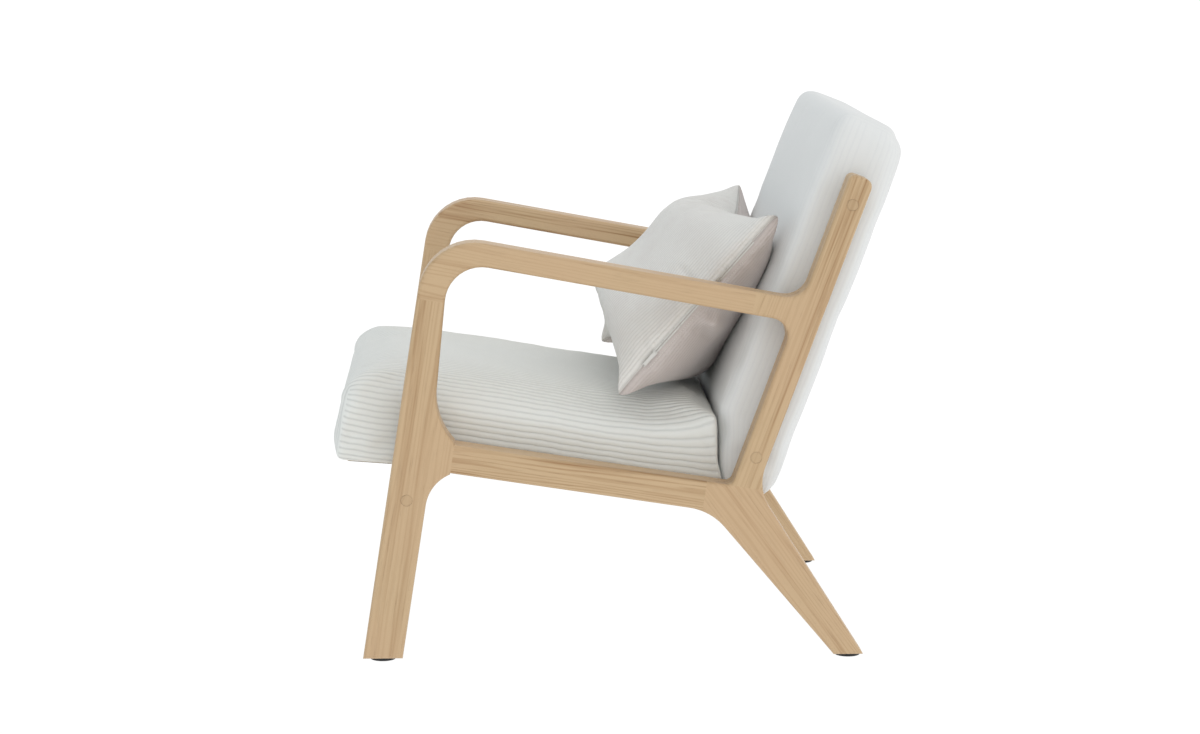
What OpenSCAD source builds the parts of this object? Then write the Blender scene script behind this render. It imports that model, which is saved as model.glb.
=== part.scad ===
// Low lounge armchair: two flat hardwood side frames carry an upholstered seat and back.
// A loose lumbar pillow with a zipped cover lies against the back.
// Millimetres. Z is up, the sitter faces -Y, and the sitter's left side is +X.
// The origin is on the floor, in the middle of the chair.

/* [Side frames] */
// Width over the outer faces of the two side frames
chair_w = 650; // [540:5:780]
// Thickness of the side frame timber, from its inner to its outer face
timber_t = 46; // [38:1:56]

/* [Front leg] */
// From the middle of the chair to the front edge of the front foot
front_reach = 355; // [330:1:385]
// Lean of the front leg from upright, in degrees
front_lean = 8.9; // [6:0.1:11]
// Width of the front leg below the seat rail
front_leg_w = 54; // [45:1:65]
// Width of the front leg where the armrest joins it
front_leg_top_w = 38.5; // [32:0.5:46]
// Taper of the front leg above the seat rail, in degrees
front_leg_taper = 3.2; // [2:0.1:4.5]
// Height of the glued joint between front leg and armrest
leg_joint_z = 503; // [480:1:512]
// Radius of the curve above the seat rail
ear_upper_r = 95; // [80:1:110]
// Radius of the curve below the seat rail
ear_lower_r = 55; // [46:1:64]
// Depth of the ear that meets the seat rail, behind the leg
ear_reach = 31; // [26:1:36]

/* [Armrest] */
// Height of the armrest's top face above the middle of the chair
arm_mid_z = 544; // [505:1:600]
// Fall of the armrest towards the back, in degrees
arm_slope = 10.4; // [8:0.1:12]
// Thickness of the armrest
arm_t = 32; // [27:1:38]
// Outer radius of the bend at the front of the armrest
bend_outer_r = 77; // [65:1:90]
// Inner radius of the bend at the front of the armrest
bend_inner_r = 50; // [42:1:58]

/* [Seat rail] */
// Height of the seat rail's top face above the middle of the chair
rail_mid_z = 267; // [250:1:300]
// Fall of the seat rail and the seat towards the back, in degrees
rail_slope = 8.8; // [7:0.1:10]
// Height of the seat rail's section
rail_h = 40; // [34:1:46]

/* [Back post] */
// From the middle of the chair to the post's front edge, on the seat rail
post_y = 153; // [140:1:175]
// Lean of the back post from upright, in degrees
post_tilt = 20.3; // [18:0.1:23]
// Width of the back post, seen from the side
post_w = 34.5; // [29:0.5:41]
// Height of the back post's top end
post_top_z = 671; // [640:1:700]
// Radius of the curve between armrest and post, above the armrest
post_upper_r = 32; // [26:1:38]
// Radius of the curve between armrest and post, below the armrest
post_lower_r = 25; // [20:1:30]

/* [Rear leg] */
// From the middle of the chair to the rear edge of the rear foot
rear_reach = 339; // [320:1:410]
// Width of the rear foot, seen from the side
rear_foot_w = 40; // [33:1:48]
// Lean of the rear leg's front edge from upright, in degrees
rear_front_lean = 40.2; // [38:0.1:42]
// Lean of the rear leg's rear edge from upright, in degrees
rear_back_lean = 32.4; // [31:0.1:34]
// Radius of the curve behind the seat rail, between leg and post
notch_r = 65; // [54:1:78]
// Radius of the curve in front of the rear leg, under the seat rail
knee_r = 80; // [66:1:96]

/* [Joinery] */
// Diameter of the beech dowels
dowel_d = 10; // [8:0.5:12]
// Length of the beech dowels
dowel_len = 60; // [50:1:72]
// Diameter of the wood plugs that cover the bolts
plug_d = 16; // [13:0.5:19]
// Thickness of the wood plugs
plug_t = 6; // [5:0.5:7]
// Diameter of the furniture bolts
bolt_d = 8; // [6.5:0.5:9.5]
// Length of the furniture bolts under the head
bolt_len = 72; // [64:1:76]
// Depth of the counterbore that takes the bolt's head and its plug
counterbore = 14; // [13:0.5:17]
// Height of the bolt that goes through the front leg
leg_bolt_z = 226; // [215:1:232]
// Height of the upper bolt of the back
upper_bolt_z = 628; // [590:1:632]
// Height of the lower bolt of the back
lower_bolt_z = 282; // [278:1:310]

/* [Seat] */
// Free gap on each side between a side frame and the upholstery
side_gap = 4; // [3:0.5:6]
// From the middle of the chair to the front of the seat
seat_reach = 391; // [360:1:430]
// Height of the upholstered seat at its front edge
seat_h = 120; // [100:1:130]
// Fall of the seat's underside towards the back, in degrees
seat_base_slope = 4.5; // [3:0.1:6]
// Height of the seat's crown above its edge
seat_crown = 24; // [18:1:29]
// Height of the timber of the seat's inner frame
seat_rail_h = 42; // [35:1:48]

/* [Back] */
// Lean of the upholstered back from upright, in degrees
back_tilt = 21; // [19:0.1:23]
// Thickness of the upholstered back
back_t = 106; // [98:1:120]
// Height of the top of the upholstered back
back_top_z = 764; // [730:1:800]
// Radius of the upper rear edge of the back
back_rear_r = 48; // [40:1:52]

/* [Pillow] */
// Width of the lumbar pillow
pillow_w = 512; // [430:1:530]
// Height of the lumbar pillow, from its lower to its upper edge
pillow_h = 316; // [265:1:330]
// Thickness of the lumbar pillow in its middle
pillow_t = 138; // [115:1:150]
// Lean of the pillow from upright, in degrees
pillow_lean = 41.3; // [38:0.1:44]
// Length of the zip in the short side of the pillow
zip_len = 230; // [190:1:260]

/* [Feet] */
// Diameter of the foot glides
glide_d = 36; // [30:1:38]
// Thickness of the foot glides
glide_h = 4; // [3.5:0.5:6]

/* [Hidden] */

$fn = 48;
far = 1500;
cut = 1;
wood = "burlywood";
inner_wood = "tan";
steel = "lightgray";
cloth = "whitesmoke";

half_w = chair_w / 2;
inner_x = half_w - timber_t;
mid_x = half_w - timber_t / 2;
pad_x = inner_x - side_gap;
fit = 0.05;
cover_t = 1.2;

// ---- lines and outlines in the side view: first coordinate Y, second Z ----

function unit(v) = v / norm(v);
function along(a) = [cos(a), sin(a)];
// Point where the line through p at angle a crosses the line through q at angle b
function meet(p, a, q, b) = p + along(a) * (cross(q - p, along(b)) / cross(along(a), along(b)));
// Arc that rounds the corner b between its neighbours a and c
function round_corner(a, b, c, r, n = 10) =
    let (u = unit(a - b), v = unit(c - b), half = acos(u * v) / 2)
    let (o = b + unit(u + v) * r / sin(half), p = b + u * r / tan(half) - o)
    let (q = b + v * r / tan(half) - o, start = atan2(p.y, p.x))
    let (turn = (atan2(q.y, q.x) - start + 540) % 360 - 180)
    [for (i = [0:n]) o + r * along(start + turn * i / n)];
// Outline through corners given as [point, radius]
function rounded(c) =
    [for (i = [0:len(c) - 1])
        let (before = c[(i + len(c) - 1) % len(c)][0], after = c[(i + 1) % len(c)][0])
        each c[i][1] == 0 ? [c[i][0]] : round_corner(before, c[i][0], after, c[i][1])];

front_a = 90 - front_lean;
front_p = [-front_reach, 0];
low_p = front_p + [front_leg_w / cos(front_lean), 0];
joint_p = meet(front_p, front_a, [0, leg_joint_z], 0);
up_a = front_a + front_leg_taper;
up_p = joint_p + along(front_a - 90) * front_leg_top_w;
arm_top_p = [0, arm_mid_z];
arm_low_p = [0, arm_mid_z - arm_t / cos(arm_slope)];
rail_top_p = [0, rail_mid_z];
rail_low_p = [0, rail_mid_z - rail_h / cos(rail_slope)];
post_a = 90 - post_tilt;
post_p = meet(rail_top_p, -rail_slope, [post_y, 0], 90);
post_back_p = post_p + [post_w / cos(post_tilt), 0];
post_mid_p = post_p + [post_w / cos(post_tilt) / 2, 0];
post_end_p = meet(post_p, post_a, [0, post_top_z], 0);
leg_back_p = [rear_reach, 0];
leg_front_p = [rear_reach - rear_foot_w, 0];
leg_back_a = 90 + rear_back_lean;
leg_front_a = 90 + rear_front_lean;
sole_p = [0, glide_h];

// Glued joints of a side frame: a point on each, and the direction across the member
rail_corner = meet(up_p, up_a, rail_top_p, -rail_slope);
ear_p = rail_corner + along(-rail_slope) * ear_reach;
rail_end_p = post_p - along(-rail_slope) * 35;
arm_end_p = meet(arm_top_p, -arm_slope, post_p, post_a) - along(-arm_slope) * 64;

// Centre of a circle of radius r that touches the line through p on its right side and passes
// through t; side 1 puts it beyond t along the line, -1 before
function touching(p, a, t, r, side) =
    let (base = p + along(a - 90) * r, w = t - base, k = w * along(a))
    base + along(a) * (k + side * sqrt(r * r - w * w + k * k));

// The two curves that blend the front leg into its ear end just proud of the seat rail
ear_lip = 2;
rail_n = along(90 - rail_slope);
ear_low_p = ear_p - rail_n * rail_h;
ear_tip = ear_p + rail_n * ear_lip - along(-rail_slope) * fit;
ear_low_tip = ear_low_p - rail_n * ear_lip - along(-rail_slope) * fit;
upper_curve = touching(up_p, up_a, ear_tip, ear_upper_r, 1);
lower_curve = touching(low_p, front_a, ear_low_tip, ear_lower_r, -1);
upper_a = atan2(ear_tip.y - upper_curve.y, ear_tip.x - upper_curve.x);
lower_a = atan2(ear_low_tip.y - lower_curve.y, ear_low_tip.x - lower_curve.x);
function arc(c, r, a0, a1, n = 12) = [for (i = [0:n]) c + r * along(a0 + (a1 - a0) * i / n)];
// Outline of the ear above and below the seat rail, each from the rail to the leg
ear_top = concat([ear_p], arc(upper_curve, ear_upper_r, upper_a, up_a - 270));
ear_bottom = concat([ear_low_p], arc(lower_curve, ear_lower_r, lower_a, front_a + 90));

outer_loop = rounded(concat([
    [meet(front_p, front_a, sole_p, 0), 3],
    [meet(front_p, front_a, arm_top_p, -arm_slope), bend_outer_r],
    [meet(arm_top_p, -arm_slope, post_p, post_a), post_upper_r],
    [post_end_p, 9],
    [meet(post_end_p, -post_tilt, post_back_p, post_a), 12],
    [meet(post_back_p, post_a, leg_back_p, leg_back_a), notch_r],
    [meet(leg_back_p, leg_back_a, sole_p, 0), 3],
    [meet(leg_front_p, leg_front_a, sole_p, 0), 3],
    [meet(leg_front_p, leg_front_a, rail_low_p, -rail_slope), knee_r]],
    [for (p = ear_bottom) [p, 0]],
    [[meet(low_p, front_a, sole_p, 0), 3]]));

inner_loop = rounded(concat([
    [meet(up_p, up_a, arm_low_p, -arm_slope), bend_inner_r],
    [meet(arm_low_p, -arm_slope, post_p, post_a), post_lower_r],
    [meet(post_p, post_a, rail_top_p, -rail_slope), 10]],
    [for (p = ear_top) [p, 0]]));

// Everything to the left of the line through p in direction a
module left_of(p, a) {
    translate(p) rotate(a) translate([-far, 0]) square([2 * far, far]);
}

module side_outline() {
    difference() {
        polygon(outer_loop);
        polygon(inner_loop);
    }
}

// Cuts a member out of the side outline between its joints
module front_leg_outline() {
    intersection() {
        side_outline();
        left_of(joint_p, 180 - front_lean);
        left_of(ear_p, 90 - rail_slope);
    }
}

module armrest_outline() {
    intersection() {
        side_outline();
        left_of(joint_p, -front_lean);
        left_of(arm_end_p, 90 - arm_slope);
    }
}

module seat_rail_outline() {
    intersection() {
        side_outline();
        left_of(joint_p, 180 - front_lean);
        left_of(ear_p, 270 - rail_slope);
        left_of(rail_end_p, 90 - rail_slope);
    }
}

module back_post_outline() {
    intersection() {
        side_outline();
        left_of(arm_end_p, 270 - arm_slope);
        left_of(rail_top_p, -rail_slope);
    }
}

module rear_leg_outline() {
    intersection() {
        side_outline();
        left_of(rail_end_p, 270 - rail_slope);
        left_of(rail_top_p, 180 - rail_slope);
    }
}

// Turns a side view outline into timber of the side frame on the +X side
module timber() {
    translate([inner_x, 0, 0]) rotate([90, 0, 90]) linear_extrude(timber_t) children();
}

module on_side(s) {
    if (s > 0) children();
    else mirror([1, 0, 0]) children();
}

// ---- fasteners of the side frame ----

dowel_gap = timber_t * 0.44;
arm_mid_shift = -along(90 - arm_slope) * arm_t / 2;
rail_mid_shift = -along(90 - rail_slope) * rail_h / 2;
head_p = meet(post_mid_p, 90, rail_top_p, -rail_slope);
leg_mid_p = joint_p + along(front_a - 90) * front_leg_top_w / 2;

// Middle of each glued joint and the direction of its dowels
dowel_joints = [[leg_mid_p, front_a], [ear_p + rail_mid_shift, -rail_slope],
                [arm_end_p + arm_mid_shift, -arm_slope],
                [rail_end_p + rail_mid_shift, -rail_slope],
                [head_p - along(post_a) * 10, 85 - post_tilt]];

module dowel_pair(joint, d, length) {
    for (s = [-1, 1])
        translate([mid_x + s * dowel_gap / 2, joint[0].x, joint[0].y])
            rotate([joint[1], 0, 0]) rotate([-90, 0, 0])
                cylinder(d = d, h = length, center = true);
}

module dowel_holes() {
    for (j = dowel_joints) dowel_pair(j, dowel_d, dowel_len + 2);
}

// Bolt places in the side view
leg_bolt_p = let (p = meet(front_p, front_a, [0, leg_bolt_z], 0)) p + [front_leg_w / cos(front_lean) / 2, 0];
upper_bolt_p = meet(post_mid_p, post_a, [0, upper_bolt_z], 0);
lower_bolt_p = meet(post_mid_p, post_a, [0, lower_bolt_z], 0);
bolt_places = [leg_bolt_p, upper_bolt_p, lower_bolt_p];
back_bolts = [upper_bolt_p, lower_bolt_p];
head_d = plug_d - 3;
head_t = 5;
washer_t = 1.5;
washer_x = half_w - counterbore;
bolt_x = washer_x + washer_t;
bolt_tip_x = bolt_x - bolt_len;
insert_d = bolt_d + 5;
insert_len = 22;
bolt_clear = 0.5;

// A cylinder along X from x0 outwards, at each of the given places
module across(places, x0, length, d) {
    for (p = places) translate([x0, p.x, p.y]) rotate([0, 90, 0]) cylinder(d = d, h = length);
}

module bolt_holes(places) {
    across(places, inner_x - cut, timber_t + 2 * cut, bolt_d + 2 * bolt_clear);
    across(places, washer_x, counterbore + cut, plug_d);
}

// ---- places of the seat unit, the cross rails and the back's inner frame ----

// Underside and upper edge of the seat unit, as lines in the side view
seat_low_p = [-seat_reach, rail_mid_z + 4];
seat_top_p = seat_low_p + [0, seat_h];
seat_n = along(90 - seat_base_slope);
seat_rear_y = post_y - 9;
back_low_z = rail_mid_z - 50;
front_cross_t = 26;
front_cross_h = 60;
rear_cross_t = 30;
rear_cross_h = 32;
front_cross_mid = meet(leg_bolt_p, 90 - seat_base_slope, seat_low_p, -seat_base_slope)
    - seat_n * front_cross_h / 2;
rear_cross_mid = [post_y + 8, back_low_z - 3 - rear_cross_h / 2];
rear_cross_dowels = [for (s = [-1, 1]) rear_cross_mid + [s * 8, -6]];
rear_cross_dowel_len = 50;

stile_t = 24;
stile_w = 34;
stile_pad = 12;
stile_x = pad_x - stile_pad - stile_t;
// The leg's bolts are shorter, because the cross rail starts right behind the leg
leg_bolt_len = bolt_len - side_gap - stile_pad;

nail_d = 4;
nail_len = 20;
nail_head_d = 10;
nail_head_t = 1.2;
front_glide_y = front_p.x + front_leg_w / cos(front_lean) / 2 + glide_h * tan(front_lean);
rear_glide_y = rear_reach - rear_foot_w / 2 - glide_h * tan(rear_back_lean);

module foot_hole(y) {
    translate([mid_x, y, glide_h - cut]) cylinder(d = nail_d, h = nail_len + cut);
}

module front_leg(s) {
    color(wood) on_side(s) difference() {
        timber() front_leg_outline();
        dowel_holes();
        bolt_holes([leg_bolt_p]);
        foot_hole(front_glide_y);
    }
}

module armrest(s) {
    color(wood) on_side(s) difference() {
        timber() armrest_outline();
        dowel_holes();
    }
}

module back_post(s) {
    color(wood) on_side(s) difference() {
        timber() back_post_outline();
        dowel_holes();
        bolt_holes(back_bolts);
    }
}

module seat_rail(s) {
    color(wood) on_side(s) difference() {
        timber() seat_rail_outline();
        dowel_holes();
    }
}

module rear_leg(s) {
    color(wood) on_side(s) difference() {
        timber() rear_leg_outline();
        dowel_holes();
        across(rear_cross_dowels, inner_x - cut, rear_cross_dowel_len / 2 + 2 * cut, dowel_d);
        foot_hole(rear_glide_y);
    }
}

module frame_dowels(s) {
    color(inner_wood) on_side(s)
        for (j = dowel_joints) dowel_pair(j, dowel_d - 2 * fit, dowel_len);
}

module side_bolts() {
    color(steel) for (s = [-1, 1]) on_side(s) {
        across(back_bolts, bolt_tip_x, bolt_len, bolt_d);
        across([leg_bolt_p], bolt_x - leg_bolt_len, leg_bolt_len, bolt_d);
        difference() {
            across(bolt_places, bolt_x, head_t, head_d);
            for (p = bolt_places) translate([bolt_x + 2, p.x, p.y])
                rotate([0, 90, 0]) cylinder(d = bolt_d * 0.7, h = head_t, $fn = 6);
        }
    }
}

module bolt_washers() {
    color(steel) for (s = [-1, 1]) on_side(s) difference() {
        across(bolt_places, washer_x, washer_t, plug_d - 1);
        across(bolt_places, washer_x - cut, washer_t + 2 * cut, bolt_d + 2 * fit);
    }
}

// Brass inserts in the cross rail's ends and in the stiles of the back
insert_xs = [[leg_bolt_p, inner_x], [upper_bolt_p, stile_x + stile_t], [lower_bolt_p, stile_x + stile_t]];

module threaded_inserts() {
    color("goldenrod") for (s = [-1, 1]) on_side(s) for (i = insert_xs) difference() {
        across([i[0]], i[1] - insert_len, insert_len, insert_d);
        across([i[0]], i[1] - insert_len - cut, insert_len + 2 * cut, bolt_d + 2 * fit);
    }
}

module insert_holes(places, x1, depth) {
    for (s = [-1, 1]) on_side(s) {
        across(places, x1 - insert_len, insert_len + cut, insert_d + 2 * fit);
        across(places, x1 - depth, depth, bolt_d + 2 * bolt_clear);
    }
}

module wood_plugs() {
    color(inner_wood) for (s = [-1, 1]) on_side(s)
        across(bolt_places, half_w - plug_t, plug_t, plug_d - 2 * fit);
}

// ---- feet ----

module foot_glide(s, y) {
    color("black") on_side(s) translate([mid_x, y, 0]) difference() {
        union() {
            cylinder(d = glide_d - 2, h = glide_h);
            translate([0, 0, 1]) cylinder(d = glide_d, h = glide_h - 1);
        }
        translate([0, 0, -cut]) cylinder(d = nail_head_d + 2 * fit, h = glide_h / 2 + cut);
        cylinder(d = nail_d + 2 * fit, h = glide_h + cut);
    }
}

module glide_nails() {
    color(steel) for (s = [-1, 1]) on_side(s) for (y = [front_glide_y, rear_glide_y])
        translate([mid_x, y, glide_h / 2]) {
            translate([0, 0, -nail_head_t]) cylinder(d = nail_head_d, h = nail_head_t);
            cylinder(d = nail_d - 2 * fit, h = nail_len - cut);
        }
}

// ---- cross rails ----

// A board across the chair with its middle at p and its section turned by the given slope
module cross_board(p, t, h, slope) {
    translate([0, p.x, p.y]) rotate([-slope, 0, 0])
        cube([2 * inner_x, t, h], center = true);
}

module front_cross_rail() {
    color(wood) difference() {
        cross_board(front_cross_mid, front_cross_t, front_cross_h, seat_base_slope);
        insert_holes([leg_bolt_p], inner_x, inner_x - bolt_x + leg_bolt_len + 1);
        front_screws(screw_d + 2 * fit, screw_head_d + 2 * fit);
    }
}

module rear_cross_rail() {
    color(wood) difference() {
        cross_board(rear_cross_mid, rear_cross_t, rear_cross_h, 0);
        for (s = [-1, 1]) on_side(s)
            across(rear_cross_dowels, inner_x - rear_cross_dowel_len / 2 - cut,
                   rear_cross_dowel_len / 2 + 2 * cut, dowel_d);
        bracket_cross_screws(screw_d + 2 * fit, screw_head_d);
    }
}

module cross_rail_dowels() {
    color(inner_wood) for (s = [-1, 1]) on_side(s)
        across(rear_cross_dowels, inner_x - rear_cross_dowel_len / 2,
               rear_cross_dowel_len, dowel_d - 2 * fit);
}

// ---- seat unit ----

seat_edge_r = 14;
seat_front_r = 38;
crown_in = 95;

// Puts children at a place on the seat's base: u back along its underside, w up from it
module on_seat(u, w) {
    p = seat_low_p + along(-seat_base_slope) * u + seat_n * w;
    translate([0, p.x, p.y]) rotate([-seat_base_slope, 0, 0]) children();
}

module ball_pair(x, y, z, r, d) {
    for (s = [-1, 1]) translate([s * (x - r), y, z]) sphere(r = r - d, $fn = 32);
}

// The upholstered seat, made smaller by d all round
module seat_body(d) {
    front_y = -seat_reach;
    top_z = meet(seat_top_p, -rail_slope, [front_y + seat_front_r, 0], 90).y;
    rear_top_z = meet(seat_top_p, -rail_slope, [seat_rear_y - seat_front_r, 0], 90).y;
    base_p = seat_low_p + seat_n * seat_edge_r;
    front_low = meet(base_p, -seat_base_slope, [front_y + seat_edge_r, 0], 90);
    rear_low = meet(base_p, -seat_base_slope, [seat_rear_y - seat_edge_r, 0], 90);
    hull() {
        ball_pair(pad_x, front_low.x, front_low.y, seat_edge_r, d);
        ball_pair(pad_x, front_y + seat_front_r, top_z - seat_front_r, seat_front_r, d);
        ball_pair(pad_x, seat_rear_y - seat_front_r, rear_top_z - seat_front_r, seat_front_r, d);
        ball_pair(pad_x, rear_low.x, rear_low.y, seat_edge_r, d);
        ball_pair(pad_x - crown_in, front_y + crown_in, top_z + seat_crown - seat_front_r - 8, seat_front_r, d);
        ball_pair(pad_x - crown_in, seat_rear_y - crown_in + 10, rear_top_z + seat_crown - seat_front_r + 8,
                  seat_front_r, d);
    }
}

seat_board_t = 24;
seat_pad = 14;
seat_u0 = 16;
seat_u1 = (seat_rear_y + seat_reach) / cos(seat_base_slope) - 12;
seat_x = pad_x - seat_pad;
spring_d = 3.5;
clip_t = 8;
dust_t = 0.8;
seat_cavity_h = seat_rail_h + clip_t + 4;

module seat_cavity() {
    on_seat(seat_u0 - fit, -10)
        translate([-seat_x - fit, 0, 0]) cube([2 * (seat_x + fit), seat_u1 - seat_u0 + 2 * fit, seat_cavity_h + 10]);
}

module seat_foam() {
    color("lightyellow") difference() {
        seat_body(cover_t);
        seat_cavity();
    }
}

module seat_cover() {
    color(cloth) difference() {
        seat_body(0);
        seat_body(cover_t);
        seat_cavity();
    }
}

module seat_dust_cover() {
    color("dimgray") difference() {
        on_seat(seat_u0 + 1, fit)
            translate([1 - seat_x, 0, 0])
                cube([2 * (seat_x - 1), seat_u1 - seat_u0 - 2, dust_t - 2 * fit]);
        front_screws(screw_d + 1, screw_head_d + 1);
        bracket_seat_screws(screw_d + 1, screw_head_d + 1);
    }
}

module seat_board(u, x0, width, length) {
    on_seat(u, dust_t) translate([x0, 0, 0]) cube([width, length, seat_rail_h - dust_t]);
}

module seat_frame_front() {
    color(inner_wood) seat_board(seat_u0, -seat_x, 2 * seat_x, seat_board_t);
}

module seat_frame_rear() {
    color(inner_wood) difference() {
        seat_board(seat_u1 - seat_board_t, -seat_x, 2 * seat_x, seat_board_t);
        bracket_seat_screws(screw_d + 2 * fit, screw_head_d);
    }
}

module seat_frame_side(s) {
    color(inner_wood) difference() {
        on_side(s) seat_board(seat_u0 + seat_board_t, seat_x - seat_board_t, seat_board_t,
                              seat_u1 - seat_u0 - 2 * seat_board_t);
        front_screws(screw_d + 2 * fit, screw_head_d);
    }
}

// Sinuous springs: a flat wave of square wire from the front board to the rear board
spring_count = 5;
spring_pitch = 2 * (seat_x - 60) / (spring_count - 1);
spring_waves = 9;
spring_swing = 22;
spring_u0 = seat_u0 + 10;
spring_u1 = seat_u1 - 10;

module spring_wave() {
    wave_n = 8 * spring_waves;
    length = spring_u1 - spring_u0;
    mid = [for (i = [0:wave_n]) [spring_swing * sin(i * 45), i * length / wave_n]];
    side = [for (i = [0:wave_n]) let (a = mid[max(i - 1, 0)], b = mid[min(i + 1, wave_n)])
        let (t = unit(b - a)) [-t.y, t.x] * spring_d / 2];
    polygon(concat([for (i = [0:wave_n]) mid[i] + side[i]], [for (i = [wave_n:-1:0]) mid[i] - side[i]]));
}

module seat_springs() {
    color(steel) for (i = [0:spring_count - 1]) on_seat(spring_u0, seat_rail_h + 2)
        translate([(i - (spring_count - 1) / 2) * spring_pitch, 0, 0]) linear_extrude(spring_d) spring_wave();
}

module spring_clips() {
    clip_w = 18;
    clip_l = 12;
    color(steel) for (i = [0:spring_count - 1], u = [spring_u0 - 6, spring_u1 - 6])
        on_seat(u, seat_rail_h) translate([(i - (spring_count - 1) / 2) * spring_pitch - clip_w / 2, 0, 0])
            difference() {
                cube([clip_w, clip_l, clip_t]);
                translate([-cut, -cut, 2 - fit]) cube([clip_w + 2 * cut, clip_l + 2 * cut, spring_d + 2 * fit]);
            }
}

// ---- brackets and screws that hold the seat unit ----

screw_d = 5;
screw_head_d = 10;
screw_head_t = 3;
bracket_t = 3;
bracket_w = 40;
bracket_x = seat_x * 0.6;
bracket_front_y = seat_rear_y - 42;
bracket_face_y = rear_cross_mid.x - rear_cross_t / 2;
bracket_low_z = rear_cross_mid.y - rear_cross_h / 2 + 4;
seat_screw_u = seat_u1 - seat_board_t / 2;

// Angle plate: one flange under the seat's rear board, one on the front of the rear cross rail
module seat_brackets() {
    corner = meet(seat_low_p, -seat_base_slope, [bracket_face_y, 0], 90);
    front = meet(seat_low_p, -seat_base_slope, [bracket_front_y, 0], 90);
    color(steel) difference() {
        for (s = [-1, 1]) on_side(s)
            translate([bracket_x - bracket_w / 2, 0, 0]) rotate([90, 0, 90]) linear_extrude(bracket_w)
                polygon([front, corner, [bracket_face_y, bracket_low_z],
                         [bracket_face_y - bracket_t, bracket_low_z],
                         corner - [bracket_t, bracket_t], front - [0, bracket_t]]);
        bracket_seat_screws(screw_d + 2 * fit, screw_head_d);
        bracket_cross_screws(screw_d + 2 * fit, screw_head_d);
    }
}

// One screw that points along +Z, with the underside of its head at the origin
module screw(length, d, head) {
    translate([0, 0, -screw_head_t]) cylinder(d = head, h = screw_head_t);
    translate([0, 0, -fit]) cylinder(d = d, h = length);
}

module bracket_seat_screws(d, head) {
    for (s = [-1, 1]) on_side(s)
        on_seat(seat_screw_u, -bracket_t) translate([bracket_x, 0, 0]) screw(30, d, head);
}

module bracket_cross_screws(d, head) {
    for (s = [-1, 1]) on_side(s)
        translate([bracket_x, bracket_face_y - bracket_t, rear_cross_mid.y]) rotate([-90, 0, 0])
            screw(24, d, head);
}

// Long screws up through the front cross rail into the side boards of the seat
front_screw_sink = 12;
front_screw_u = (front_cross_mid.x - seat_low_p.x) / cos(seat_base_slope);

module front_screws(d, head) {
    for (s = [-1, 1]) on_side(s)
        on_seat(front_screw_u, front_screw_sink - front_cross_h)
            translate([seat_x - seat_board_t / 2, 0, 0]) {
                screw(front_cross_h - front_screw_sink + 26, d, head);
                if (head > screw_head_d) translate([0, 0, -front_screw_sink - cut])
                    cylinder(d = head, h = front_screw_sink + cut);
            }
}

module seat_screws() {
    color(steel) {
        front_screws(screw_d, screw_head_d);
        bracket_seat_screws(screw_d, screw_head_d);
        bracket_cross_screws(screw_d, screw_head_d);
    }
}

// ---- back unit ----

back_front_y = seat_rear_y + 2;
back_knee_z = meet(seat_top_p, -rail_slope, [seat_rear_y, 0], 90).y + 36;
back_edge_r = 20;
back_low_r = 12;
band_t = 2;

// Place in the side view: v up along the back, u through its thickness
function back_at(v, u) = [back_front_y, back_knee_z] + along(90 - back_tilt) * v + along(-back_tilt) * u;
back_len = (back_top_z - back_knee_z) / cos(back_tilt);

// The upholstered back, made smaller by d all round
module back_body(d) {
    top_front = back_at(back_len - back_edge_r, back_edge_r);
    top_rear = back_at(back_len - back_rear_r, back_t - back_rear_r);
    rear_low = meet(back_at(0, back_t), 90 - back_tilt, [0, back_low_z], 0);
    hull() {
        ball_pair(pad_x, back_front_y + back_low_r, back_low_z + back_low_r, back_low_r, d);
        ball_pair(pad_x, back_front_y + back_edge_r, back_knee_z, back_edge_r, d);
        ball_pair(pad_x, top_front.x, top_front.y, back_edge_r, d);
        ball_pair(pad_x, top_rear.x, top_rear.y, back_rear_r, d);
        ball_pair(pad_x, rear_low.x - 1.5 * back_low_r, rear_low.y + back_low_r, back_low_r, d);
    }
}

// Board of the back's inner frame: along the post's middle line, from height z0 to z1
module back_board(x0, width, z0, z1, front, rear) {
    a = meet(post_mid_p, post_a, [0, z0], 0);
    length = (z1 - z0) / cos(post_tilt);
    translate([x0, a.x, a.y]) rotate([-post_tilt, 0, 0])
        translate([0, -front, 0]) cube([width, front + rear, length]);
}

back_z0 = lower_bolt_z - 36;
back_z1 = back_top_z - 62;
back_rail_h = 50;

module back_stile(s) {
    color(inner_wood) difference() {
        on_side(s) back_board(stile_x, stile_t, back_z0, back_z1, stile_w / 2, stile_w / 2);
        insert_holes(back_bolts, stile_x + stile_t, stile_x + stile_t - bolt_tip_x + 2);
    }
}

// A rail between the stiles, with room for the bolts' tips
module back_frame_rail(z0) {
    color(inner_wood) difference() {
        back_board(-stile_x, 2 * stile_x, z0, z0 + back_rail_h, stile_w / 2, stile_w / 2 - 10);
        for (s = [-1, 1]) on_side(s)
            across(back_bolts, bolt_tip_x - 2, bolt_len, bolt_d + 2 * bolt_clear);
    }
}

// Elastic bands stretched across the front of the stiles
band_count = 5;
band_w = 50;
band_z0 = back_z0 + back_rail_h + 20;
band_z1 = back_z1 - back_rail_h - 20;

module back_webbing() {
    step = (band_z1 - band_z0 - band_w) / (band_count - 1);
    color("dimgray") for (i = [0:band_count - 1])
        back_board(-stile_x - stile_t + 2, 2 * (stile_x + stile_t - 2), band_z0 + i * step,
                   band_z0 + i * step + band_w, stile_w / 2 + band_t, -stile_w / 2);
}

module back_cavity() {
    back_board(-stile_x - stile_t - fit, 2 * (stile_x + stile_t + fit), back_z0 - fit, back_z1 + fit,
               stile_w / 2 + band_t + fit, stile_w / 2 + fit);
}

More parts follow.
